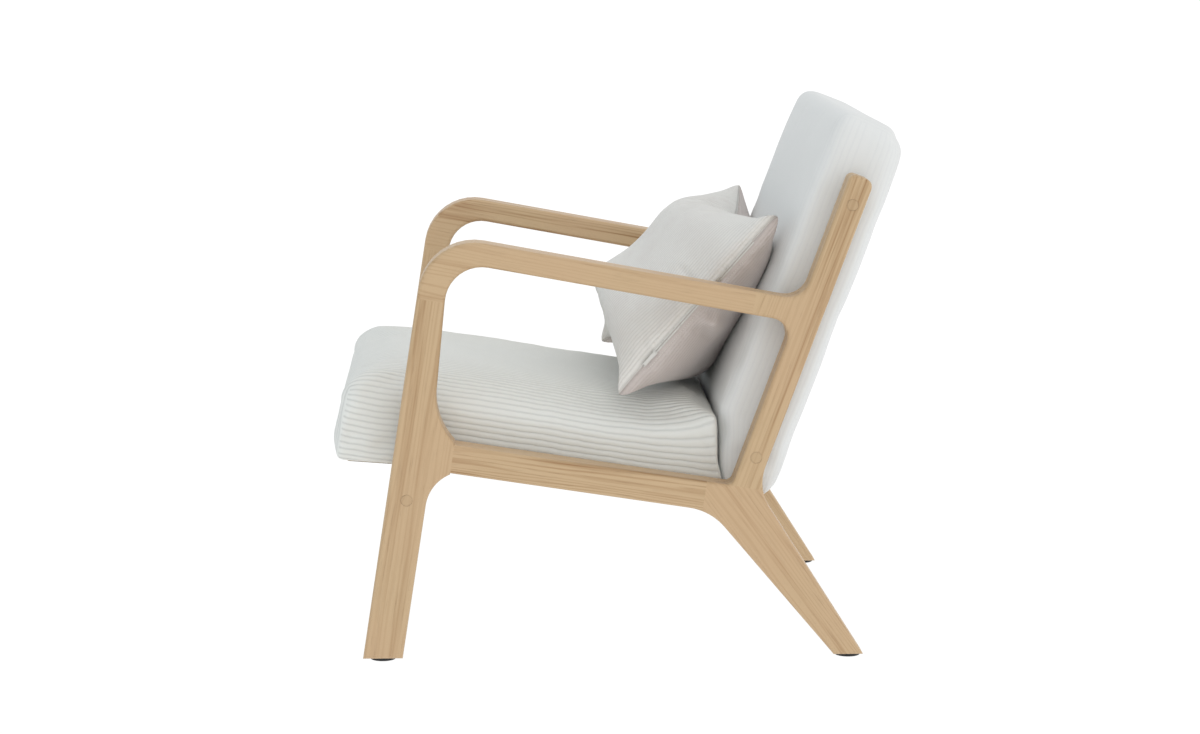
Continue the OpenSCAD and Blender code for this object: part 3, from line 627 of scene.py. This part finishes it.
def stuffed(pad, frames, pressure, cap, held=(), stiffness=15.0, bending=0.5):
    """Lets cloth pressure swell the pad, moving no point further than cap, and keeps the result."""
    before = [v.co.copy() for v in pad.data.vertices]
    cloth = pad.modifiers.new("stuffing", "CLOTH")
    settings = cloth.settings
    settings.quality = 6
    settings.mass = 0.3
    settings.tension_stiffness = settings.compression_stiffness = settings.shear_stiffness = stiffness
    settings.bending_stiffness = bending
    settings.use_pressure = True
    settings.uniform_pressure_force = pressure
    settings.effector_weights.gravity = 0
    cloth.collision_settings.use_collision = False
    if held:
        group = pad.vertex_groups.new(name="stapled")
        group.add(list(held), 1.0, "REPLACE")
        settings.vertex_group_mass = "stapled"
    cloth.point_cache.frame_start, cloth.point_cache.frame_end = 1, frames
    for number in range(1, frames + 1):
        scene.frame_set(number)
    swollen = pad.evaluated_get(bpy.context.evaluated_depsgraph_get()).data
    after = [v.co.copy() for v in swollen.vertices]
    pad.modifiers.remove(cloth)
    pad.vertex_groups.clear()
    scene.frame_set(1)
    for vert, a, b in zip(pad.data.vertices, before, after):
        move = b - a
        vert.co = a + (move.normalized() * cap if cap and move.length > cap else move)


def rounded_arc(distance, r):
    """Length of cloth from the middle of a rounded edge to a point this far from the sharp one."""
    if distance > r:
        return r * math.pi / 4 + distance - r
    return r * (math.pi / 4 - math.atan((r - distance) / r))


SEAT_FRONT, SEAT_REAR = -391 * MM, 147 * MM
SEAT_R = 34 * MM
SEAT_SIZE = (2 * PAD_X - 9 * MM, SEAT_REAR - SEAT_FRONT, 120 * MM)
SEAT_CROWN, REAR_LIFT = 20 * MM, 31 * MM


def seat_low(y):
    return 271 * MM - math.tan(math.radians(4.5)) * (y - SEAT_FRONT)


def seat_high(y):
    return 391 * MM - math.tan(math.radians(8.8)) * (y - SEAT_FRONT) - 4 * MM


def eased(share, width):
    """0 at both ends of 0 to 1, and 1 further in than width."""
    t = max(0.0, min(1.0, min(share, 1 - share) / width))
    return math.sin(t * math.pi / 2)


def seat_radius(share):
    low, upright = (10 - 3 * share.y) * MM, (22 - 14 * share.y) * MM
    rising = max(0.0, min(1.0, (share.z - 0.12) / 0.2))
    topmost = max(0.0, min(1.0, (share.z - 0.55) / 0.25))
    tighter = max(0.0, min(1.0, (share.y - 0.7) / 0.25))
    return low + (upright - low) * rising + (SEAT_R - 20 * MM * tighter - upright) * topmost


def seat_place(p, share):
    y = p.y + (SEAT_FRONT + SEAT_REAR) / 2
    w = (p.z + SEAT_SIZE[2] / 2) / SEAT_SIZE[2]
    crown = SEAT_CROWN * eased(share.x, 0.3) * eased(share.y, 0.28 if share.y < 0.5 else 0.12)
    crown *= max(0.0, w) ** 2
    soft = 1.6 * MM * noise.noise(Vector((p.x * 9, y * 9, w * 2)))
    soft += 0.8 * MM * noise.noise(Vector((p.x, y, p.z)) * 31)
    lift = REAR_LIFT * max(0.0, (share.y - 0.8) / 0.2) ** 1.5 * max(0.0, w) ** 2
    z = seat_low(y) + w * (seat_high(y) - seat_low(y)) + crown + lift + soft * w
    return Vector((p.x, y, z))


def seat_wales(share, axis):
    y = SEAT_FRONT + share.y * (SEAT_REAR - SEAT_FRONT)
    half = SEAT_SIZE[0] / 2
    if axis == 0:
        down = (1 - share.z) * (seat_high(y) - seat_low(y))
        return half + rounded_arc(down, SEAT_R) - SEAT_R * (1 - math.pi / 4), y
    x = (share.x - 0.5) * SEAT_SIZE[0]
    arc = half - rounded_arc(half - abs(x), SEAT_R) - SEAT_R * (1 - math.pi / 4)
    return math.copysign(arc, x), y if axis == 2 else share.z * SEAT_SIZE[2]


PALE, PALE_GROOVE = (234, 236, 232), (214, 216, 213)
cord_seat = corduroy("corduroy_seat", PALE, PALE_GROOVE)
seat, seat_keys = block("seat_pad", SEAT_SIZE, seat_radius, seat_place, seat_wales, cord_seat)
under = [i for i, key in enumerate(seat_keys) if key[2] == 0]
stuffed(seat, 16, 5.0, 9 * MM, under)
for index in under:
    x, y, z = seat.data.vertices[index].co
    margin = min(SEAT_SIZE[0] / 2 - abs(x), y - SEAT_FRONT, SEAT_REAR - y)
    if margin > 5 * MM:
        seat.data.vertices[index].co.z = seat_low(y) + 0.78 * MM
seat.modifiers.new("smooth cloth", "SUBSURF").levels = 1
seat.modifiers[0].render_levels = 1
settled(seat)
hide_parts("seat_cover", "seat_foam")
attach(seat, "chair")

# ---- back ----
# A reclined foam back on a timber frame, bolted between the posts. Its front panel runs over the
# top and down behind, with the wales upright; the two side panels are sewn in.

BACK_TILT = math.radians(21)
BACK_FRONT, BACK_LOW, BACK_KNEE, BACK_TOP = 146 * MM, 217 * MM, 344.2 * MM, 764 * MM
BACK_THICK = 106 * MM
BACK_STRAIGHT = (BACK_TOP - BACK_KNEE) / math.cos(BACK_TILT)
BACK_SIZE = (2 * PAD_X - 9 * MM, BACK_THICK - 6 * MM, BACK_KNEE - BACK_LOW + BACK_STRAIGHT - 4 * MM)
UPWARDS = Vector((0, math.sin(BACK_TILT), math.cos(BACK_TILT)))
REARWARDS = Vector((0, math.cos(BACK_TILT), -math.sin(BACK_TILT)))
KNEE = Vector((0, BACK_FRONT, BACK_KNEE))


def back_radius(share):
    top = max(0.0, (share.z - 0.8) / 0.2)
    if share.z <= 0.15:
        return 12 * MM
    return (16 + 5 * (1 - share.y) * top + 26 * share.y ** 1.5 * top) * MM


def back_place(p, share):
    height = p.z + BACK_SIZE[2] / 2 + 1 * MM
    depth = (p.y + BACK_SIZE[1] / 2) / BACK_SIZE[1]
    bend = BACK_KNEE - BACK_LOW
    if height > bend:
        front = KNEE + UPWARDS * (height - bend)
        rear = front + REARWARDS * BACK_THICK
    else:
        front = Vector((0, BACK_FRONT, BACK_LOW + height))
        rear = Vector((0, 207 * MM, BACK_LOW)).lerp(KNEE + REARWARDS * BACK_THICK, height / bend)
    soft = 0.0018 * noise.noise(Vector((p.x * 8, height * 8, depth * 3)))
    belly = 7 * MM * eased(share.x, 0.3) * eased(share.z, 0.3)
    swelling = belly * (depth - 0.5) * (1 if depth > 0.5 else 0.7)
    at = front.lerp(rear, depth * 0.96 + 0.02) + REARWARDS * (soft + swelling)
    return Vector((p.x, at.y, at.z))


def back_wales(share, axis):
    half, r = BACK_SIZE[0] / 2, 18 * MM
    if axis == 0:
        depth = min(share.y, 1 - share.y) * BACK_SIZE[1]
        return half + rounded_arc(depth, r) - r * (1 - math.pi / 4), share.z * BACK_SIZE[2]
    x = (share.x - 0.5) * BACK_SIZE[0]
    arc = half - rounded_arc(half - abs(x), r) - r * (1 - math.pi / 4)
    return math.copysign(arc, x), (share.z if axis == 1 else share.y) * BACK_SIZE[2]


cord_back = corduroy("corduroy_back", (226, 228, 227), (222, 224, 224), relief=0.00015)
back, back_keys = block("back_pad", BACK_SIZE, back_radius, back_place, back_wales, cord_back)
stuffed(back, 16, 4.0, 7 * MM, [i for i, key in enumerate(back_keys) if key[2] == 0])
back.modifiers.new("smooth cloth", "SUBSURF").levels = 1
back.modifiers[0].render_levels = 1
settled(back)
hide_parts("back_cover", "back_foam")
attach(back, "chair")

# ---- pillow ----
# Two panels of corduroy sewn together round a knife edge and stuffed with fibre. The zip is let
# into one short side, so that side stays straight while the other seams draw in and pucker.

PILLOW_W, PILLOW_H, PILLOW_T = 512 * MM, 316 * MM, 138 * MM
PILLOW_LEAN = math.radians(41.3)
PILLOW_UP = Vector((0, math.sin(PILLOW_LEAN), math.cos(PILLOW_LEAN)))
PILLOW_OUT = Vector((0, -math.cos(PILLOW_LEAN), math.sin(PILLOW_LEAN)))
FLAT_W, FLAT_H = 556 * MM, 372 * MM
FRONT_BULGE, REAR_BULGE = (92 * MM, 0.4), (106 * MM, 0.25)
SLUMP_AT, SLUMP_WIDTH, FULLNESS, TAPER, UPPER = -0.66, 0.35, 0.78, 0.5, 0.12
EAR, EAR_WIDTH = 13 * MM, 30 * MM
ACROSS, UP = 80, 50
ZIP_X = 246 * MM
REAR_U = 1.1
TAPE_HALF, TAPE_BLEND, TAPE_FROM = 12 * MM, 9 * MM, 222 * MM
DRAWN_REACH, ZIP_END_SHARE, SKIN = 110 * MM, 0.16, 0.4 * MM
RESTING_GAP = 1.5 * MM
low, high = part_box("pillow_filling")
PILLOW_MIDDLE = Vector((0, (low[1] + high[1]) / 2, (low[2] + high[2]) / 2))


def parted(u, v):
    """How far a panel starts from the middle plane, as a share of the pillow's thickness."""
    return 0.06 * (1 - 4 * u * u) * (1 - 4 * v * v)


def pillow_mesh(material):
    """Two flat panels joined round the edge, with a hint of stuffing between them."""
    mesh = bmesh.new()
    layer = mesh.loops.layers.uv.new("wales")
    sides = {}
    for face in (1, -1):
        for i in range(ACROSS + 1):
            for j in range(UP + 1):
                rim = i in (0, ACROSS) or j in (0, UP)
                if rim and (1, i, j) in sides:
                    sides[face, i, j] = sides[1, i, j]
                    continue
                u, v = i / ACROSS - 0.5, j / UP - 0.5
                crease = 1.2 * MM * noise.noise(Vector((u * 14, v * 9, face * 2.3)))
                z = 0 if rim else face * (PILLOW_T * parted(u, v) + 2 * MM) + crease
                sides[face, i, j] = mesh.verts.new((u * FLAT_W, v * FLAT_H, z))
        for i in range(ACROSS):
            for j in range(UP):
                keys = [(i, j), (i + 1, j), (i + 1, j + 1), (i, j + 1)][::face]
                made = mesh.faces.new([sides[face, a, b] for a, b in keys])
                for loop, (a, b) in zip(made.loops, keys):
                    beyond = REAR_U if face < 0 else 0
                    loop[layer].uv = ((a / ACROSS - 0.5) * FLAT_W + beyond, (b / UP - 0.5) * FLAT_H)
    order = {vert: (i, j) for (face, i, j), vert in sides.items()}
    keys = [order[v] for v in mesh.verts]
    made = piece_from("lumbar_pillow", mesh, material)
    if made.data.polygons[0].normal.z < 0:
        made.data.flip_normals()
    return made, keys


def build_pillow(m):
    here = m.place()
    wales = m.node("ShaderNodeUVMap", {"uv_map": "wales"})
    u, v = m.part(wales, "X"), m.part(wales, "Y")
    rear = u.maths("GREATER_THAN", REAR_U / 2)
    u = u - rear * REAR_U
    wander = (m.cloud(here, 20, 2) - 0.5) * 0.4
    wale = ((u / 0.0055 + wander) * math.pi).maths("SINE").maths("ABSOLUTE") ** 0.6
    edge = (FLAT_W / 2 - u.maths("ABSOLUTE")).maths("MINIMUM", FLAT_H / 2 - v.maths("ABSOLUTE"))
    seam = 1 - m.step(edge, 0.0006, 0.0026)
    near = 1 - m.step(edge, 0.004, 0.04)
    pucker = m.cloud(wales, 70, 2, 0.5)
    pile = m.cloud(here, 1500, 2, 0.7)
    soft = m.cloud(here, 14, 3, 0.6)
    colour = m.mix(wale * 0.7 + pile * 0.3, linear(208, 207, 203), linear(233, 232, 228))
    colour = m.mix(m.step(soft, 0.4, 0.7) * 0.18, colour, linear(206, 197, 194))
    # Painted shade with a painted warm reflection: the rear panel is mixed towards a darker, pinker grey.
    colour = m.mix(rear * 0.6, colour, linear(184, 169, 165))
    colour = m.mix(seam * 0.35, colour, linear(150, 146, 140))
    return colour, 0.92, wale * 0.4 + pile * 0.15 + pucker * near * 3.2 - seam * 1.2, 0.0011


cord_pillow = finish("corduroy_pillow", build_pillow, Sheen_Weight=0.12, Sheen_Roughness=0.5)
pillow, pillow_keys = pillow_mesh(cord_pillow)
stuffed(pillow, 44, 7.0, None, stiffness=6.0, bending=0.08)

spread = [max(abs(v.co[k]) for v in pillow.data.vertices) for k in range(3)]
for vert, (i, j) in zip(pillow.data.vertices, pillow_keys):
    x, y, z = vert.co
    x *= PILLOW_W / 2 / spread[0]
    y *= PILLOW_H / 2 / spread[1]
    bulge, slump = FRONT_BULGE if z > 0 else REAR_BULGE
    fuller = 1 + slump * math.exp(-((y / (PILLOW_H / 2) - SLUMP_AT) / SLUMP_WIDTH) ** 2)
    fuller += UPPER * math.exp(-((y / (PILLOW_H / 2) - 0.6) / 0.3) ** 2)
    fuller *= 1 - TAPER * (x / (PILLOW_W / 2)) ** 2
    z = math.copysign(bulge * fuller * (abs(z) / spread[2]) ** FULLNESS, z)
    to_corner = Vector((math.copysign(PILLOW_W / 2, x) - x, math.copysign(PILLOW_H / 2, y) - y))
    ear = EAR * math.exp(-(to_corner.length / EAR_WIDTH) ** 2)
    drooping = x < 0 < y
    vert.co = (x + math.copysign(ear, x), y + (0 if drooping else math.copysign(ear, y)), z)
seam_x = {j: v.co.x for v, (i, j) in zip(pillow.data.vertices, pillow_keys) if i == ACROSS}
seam_z = {j: v.co.z for v, (i, j) in zip(pillow.data.vertices, pillow_keys) if i == ACROSS}
for vert, (i, j) in zip(pillow.data.vertices, pillow_keys):
    near = max(0.0, 1 - (seam_x[j] - vert.co.x) / DRAWN_REACH) ** 2
    zipped = min(1.0, max(0.0, (1 - abs(2 * j / UP - 1)) / ZIP_END_SHARE))
    vert.co.x += near * zipped * (ZIP_X + SKIN - seam_x[j])
    vert.co.z -= near * seam_z[j]
    if vert.co.x > TAPE_FROM:
        beside = max(0.0, min(1.0, (TAPE_HALF + TAPE_BLEND - abs(vert.co.z)) / TAPE_BLEND))
        vert.co.x += beside * zipped * (ZIP_X + SKIN - vert.co.x)
    vert.co = PILLOW_MIDDLE + Vector((vert.co.x, 0, 0)) + PILLOW_UP * vert.co.y + PILLOW_OUT * vert.co.z

graph = bpy.context.evaluated_depsgraph_get()
seat_top = BVHTree.FromObject(seat, graph)
back_face = BVHTree.FromObject(back, graph)
for vert in pillow.data.vertices:
    hit = seat_top.ray_cast(Vector((vert.co.x, vert.co.y, 0.6)), Vector((0, 0, -1)))[0]
    if hit and vert.co.z < hit.z + RESTING_GAP:
        vert.co.z = hit.z + RESTING_GAP
    hit = back_face.ray_cast(Vector((vert.co.x, -0.2, vert.co.z)), Vector((0, 1, 0)))[0]
    if hit and vert.co.y > hit.y - RESTING_GAP:
        vert.co.y = hit.y - RESTING_GAP
pillow.modifiers.new("smooth cloth", "SUBSURF").levels = 1
pillow.modifiers[0].render_levels = 1
settled(pillow)
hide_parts("pillow_cover", "pillow_filling")
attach(pillow, "pillow")


def build_tape(m):
    here = m.place()
    ribs = (m.part(here, "Y") * (math.pi / (0.9 * MM))).maths("SINE") * 0.5 + 0.5
    return m.mix(ribs, linear(196, 194, 188), linear(224, 222, 216)), 0.85, ribs, 0.0002


paint(finish("zip_tape_woven", build_tape), "pillow_zip_tape")
paint(metal("zip_nickel", (208, 207, 202), 0.3), "pillow_zip_teeth", "pillow_zip_slider")

# ---- stitching and staples ----
# Two rows of running stitch hold the zip tape to the pillow. Flat staples hold the dust cloth to
# the underside of the seat's frame.


def threading(name):
    """A node tree that lays short rounded bars along every edge path it is given."""
    tree = bpy.data.node_groups.new(name, "GeometryNodeTree")
    inputs = {}
    for label, kind in (("Path", "Geometry"), ("Spacing", "Float"), ("Length", "Float"),
                        ("Thickness", "Float"), ("Material", "Material")):
        made = tree.interface.new_socket(name=label, in_out="INPUT", socket_type="NodeSocket" + kind)
        inputs[label] = made.identifier
    tree.interface.new_socket(name="Bars", in_out="OUTPUT", socket_type="NodeSocketGeometry")
    m = Maker(tree)
    given = tree.nodes.new("NodeGroupInput")
    take = {label: Value(m, given.outputs[label]) for label in inputs}
    curve = m.node("GeometryNodeMeshToCurve", inputs={"Mesh": take["Path"]})
    points = m.node("GeometryNodeResampleCurve", {"mode": "LENGTH"},
                    {"Curve": curve, "Length": take["Spacing"]})
    ball = m.node("GeometryNodeMeshUVSphere", inputs={"Segments": 8, "Rings": 5, "Radius": 0.5})
    size = m.node("ShaderNodeCombineXYZ", inputs=[take["Thickness"], take["Thickness"], take["Length"]])
    bar = m.node("GeometryNodeTransform", inputs={"Geometry": ball, "Scale": size})
    turn = m.node("FunctionNodeAlignRotationToVector", {"axis": "Z"},
                  {"Vector": m.node("GeometryNodeInputTangent")})
    laid = m.node("GeometryNodeInstanceOnPoints",
                  inputs={"Points": points, "Instance": bar, "Rotation": turn})
    real = m.node("GeometryNodeRealizeInstances", inputs={"Geometry": laid})
    done = m.node("GeometryNodeSetMaterial", inputs={"Geometry": real, "Material": take["Material"]})
    tree.links.new(done.socket, tree.nodes.new("NodeGroupOutput").inputs["Bars"])
    return tree, inputs


THREADING, THREADING_INPUTS = threading("bars along a path")


def bars(name, paths, material, spacing, length, thickness):
    """A piece of bars laid along open paths of points."""
    data = bpy.data.meshes.new(name)
    corners = [p for path in paths for p in path]
    links, first = [], 0
    for path in paths:
        links += [(first + i, first + i + 1) for i in range(len(path) - 1)]
        first += len(path)
    data.from_pydata(corners, links, [])
    made = bpy.data.objects.new(name, data)
    scene.collection.objects.link(made)
    laying = made.modifiers.new("laying", "NODES")
    laying.node_group = THREADING
    for label, value in (("Spacing", spacing), ("Length", length), ("Thickness", thickness),
                         ("Material", material)):
        laying[THREADING_INPUTS[label]] = value
    settled(made)
    made.data.shade_smooth()
    return made


def build_thread(m):
    twist = m.cloud(m.place(), 2400, 1)
    return m.mix(twist, linear(214, 212, 204), linear(238, 236, 230)), 0.7, twist, 0.0001


pillow_skin = BVHTree.FromObject(pillow, bpy.context.evaluated_depsgraph_get())
ROW_OFFSET, ROW_STEP, ROW_POINTS = 9 * MM, 4 * MM, 57
ROW_START = -112 * MM
ZIP_MIDDLE = PILLOW_MIDDLE + Vector((ZIP_X, 0, 0))
rows = []
for offset in (-ROW_OFFSET, ROW_OFFSET):
    row = []
    for step in range(ROW_POINTS):
        at = ZIP_MIDDLE + PILLOW_UP * (step * ROW_STEP + ROW_START) + PILLOW_OUT * offset
        hit, normal = pillow_skin.find_nearest(at)[:2]
        row.append(hit + normal * 0.2 * MM)
    rows.append(row)
thread = finish("sewing_thread", build_thread)
stitches = bars("zip_stitches", rows, thread, 3.6 * MM, 2.7 * MM, 0.7 * MM)
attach(stitches, "pillow")

STAPLE_X, STAPLE_FRONT, STAPLE_REAR = 252 * MM, -366 * MM, 122 * MM
corners = [Vector((x, y, seat_low(y) - 0.1 * MM))
           for x, y in ((-STAPLE_X, STAPLE_FRONT), (STAPLE_X, STAPLE_FRONT),
                        (STAPLE_X, STAPLE_REAR), (-STAPLE_X, STAPLE_REAR))]
runs = list(zip(corners, corners[1:] + corners[:1]))
wire = metal("staple_wire", (190, 190, 186), 0.3)
staples = bars("dust_cloth_staples", runs, wire, 34 * MM, 10 * MM, 0.8 * MM)
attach(staples, "chair")

# ---- room ----
# A plain white floor that glows evenly under a white sky, which is dimmer and cooler towards the
# front of the chair, with one broad soft lamp on the side of the near frame.

floor_mesh = bmesh.new()
bmesh.ops.create_grid(floor_mesh, x_segments=4, y_segments=4, size=30)
for vert in floor_mesh.verts:
    vert.co.z = -0.0003


def build_floor(m):
    grain = m.cloud(m.place(), 3, 2)
    return m.mix(grain, linear(20, 20, 20), linear(26, 26, 26)), 0.95, None, 0


floor = piece_from("floor", floor_mesh, finish("pale_floor", build_floor, Emission_Color=(1, 1, 1, 1),
                                               Emission_Strength=1.0))

sky = bpy.data.worlds.new("white sky")
scene.world = sky
sky.use_nodes = True
air = Maker(sky.node_tree)
direction = air.node("ShaderNodeTexCoord", output="Generated")
towards_rear = air.part(direction, "Y")
bright = air.node("ShaderNodeMapRange", inputs={"Value": towards_rear, "From Min": -0.9, "From Max": -0.25})
sky.node_tree.links.new(air.mix(bright, (0.5, 0.56, 0.6, 1.0), (1.0, 1.0, 1.0, 1.0)).socket,
                        sky.node_tree.nodes["Background"].inputs["Color"])
scene.view_settings.view_transform = "Standard"


def lamp(name, at, towards, size, power, colour):
    light = bpy.data.lights.new(name, "AREA")
    light.shape, light.size, light.energy, light.color = "DISK", size, power, colour
    made = bpy.data.objects.new(name, light)
    scene.collection.objects.link(made)
    made.location = at
    made.rotation_euler = (Vector(towards) - Vector(at)).to_track_quat("-Z", "Y").to_euler()


lamp("side lamp", (3.4, 0.4, 2.6), (0, 0, 0.4), 2.2, 5, (1.0, 0.97, 0.93))

camera = bpy.data.objects.new("camera", bpy.data.cameras.new("camera"))
scene.collection.objects.link(camera)
camera.location = (4.403, -0.194, 1.033)
camera.rotation_euler = Vector((-0.98769, 0.04015, -0.15120)).to_track_quat("-Z", "Y").to_euler()
camera.data.sensor_width, camera.data.lens = 36, 91.2
camera.data.clip_start, camera.data.clip_end = 0.1, 100
scene.camera = camera
